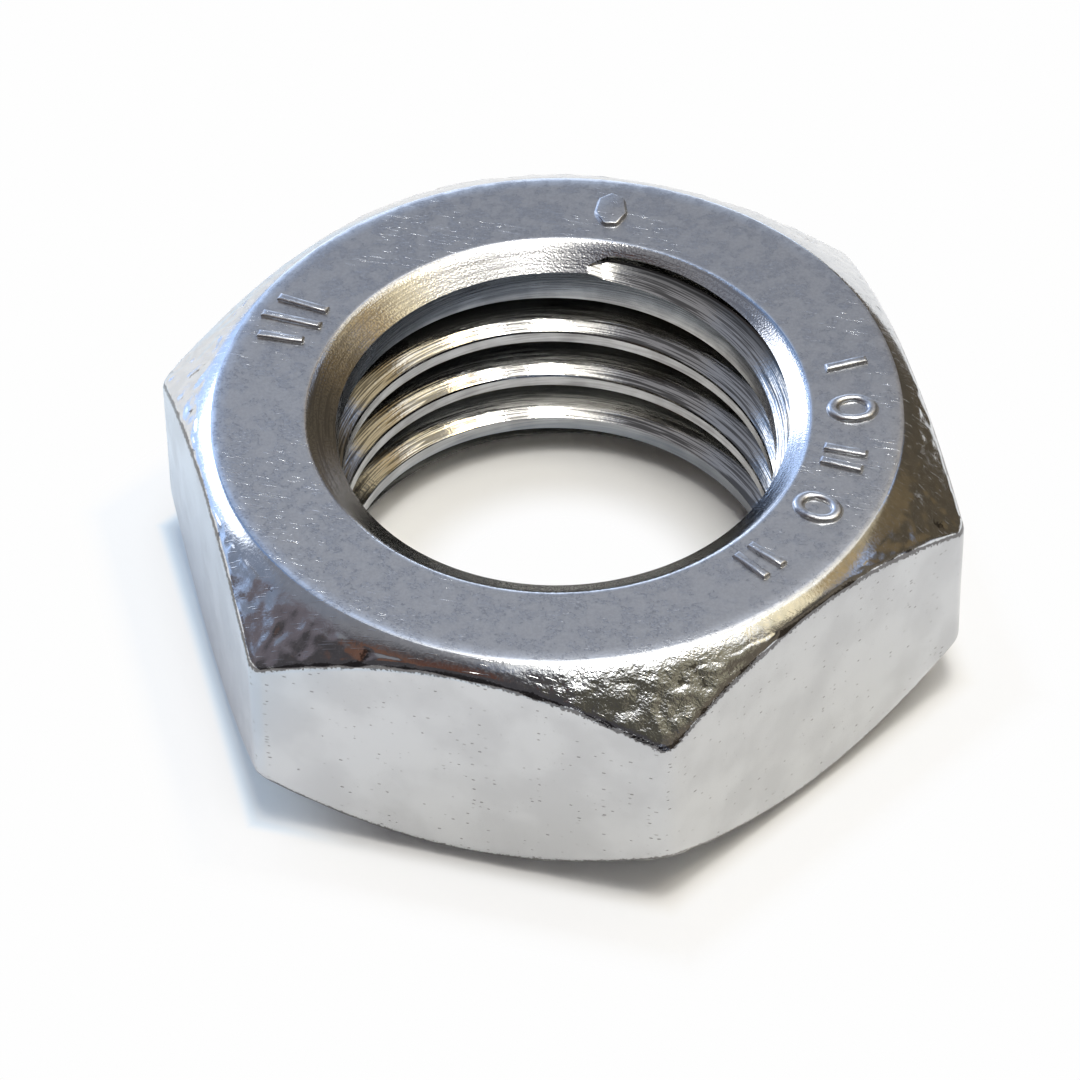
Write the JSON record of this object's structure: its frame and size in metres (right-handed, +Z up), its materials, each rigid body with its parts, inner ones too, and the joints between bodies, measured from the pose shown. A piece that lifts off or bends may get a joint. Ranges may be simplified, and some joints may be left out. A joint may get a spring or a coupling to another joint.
{
  "type": "half nut",
  "caption": "Thin hexagon nut, chamfered on both faces, with a coarse right-hand inch thread through it and a countersink at each mouth.",
  "frame": {"origin": "middle of the lower bearing face, on the thread's axis", "axes": "+Z up along the thread's axis, +X through a corner of the hexagon, +Y square to a flat"},
  "size_m": [0.0374, 0.0326, 0.0125],
  "materials": {
    "zinc_plated_steel": "bright zinc plate over cold-forged steel, with fine scratches"
  },
  "bodies": {
    "root": {"half_nut": "zinc_plated_steel"}
  },
  "joints": []
}
